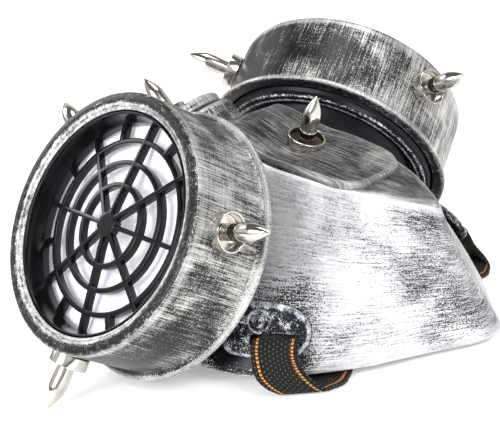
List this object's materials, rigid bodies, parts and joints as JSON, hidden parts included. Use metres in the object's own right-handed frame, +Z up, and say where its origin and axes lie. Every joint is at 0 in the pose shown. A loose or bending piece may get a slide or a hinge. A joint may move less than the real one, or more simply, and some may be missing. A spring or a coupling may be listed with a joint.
{
  "type": "costume half mask",
  "caption": "Spiked half mask for costume wear: hollow shell with nose ridge and centre strip, splayed grilled drums, chin valve, slotted tabs and elastic strap.",
  "frame": {"origin": "middle of the footprint, on the table the mask rests on", "axes": "+X to the wearer's left, +Y from the chin to the nose, +Z up off the table, out of the face; the rim lies face side down"},
  "size_m": [0.2012, 0.1484, 0.0978],
  "materials": {
    "brushed_plastic": "black plastic dry-brushed with silver",
    "black_plastic": "moulded, slightly glossy",
    "pad": "pale felt",
    "chrome": "polished",
    "elastic": "woven elastic with two orange lines"
  },
  "bodies": {
    "root": {"face_shell": "brushed_plastic", "chin_valve": "brushed_plastic", "drum_left": "brushed_plastic", "grille_left": "black_plastic", "filter_pad_left": "pad", "drum_base_left": "black_plastic", "strap_tab_left": "brushed_plastic", "spike_cup_left_nose": "chrome", "spike_left_nose": "chrome", "spike_cup_left_chin": "chrome", "spike_left_chin": "chrome", "spike_cup_left_low": "chrome", "spike_left_low": "chrome", "drum_right": "brushed_plastic", "grille_right": "black_plastic", "filter_pad_right": "pad", "drum_base_right": "black_plastic", "strap_tab_right": "brushed_plastic", "spike_cup_right_nose": "chrome", "spike_right_nose": "chrome", "spike_cup_right_chin": "chrome", "spike_right_chin": "chrome", "spike_cup_right_low": "chrome", "spike_right_low": "chrome", "spike_cup_valve": "chrome", "spike_valve": "chrome", "spike_cup_strip": "chrome", "spike_strip": "chrome", "elastic_strap": "elastic"}
  },
  "joints": []
}
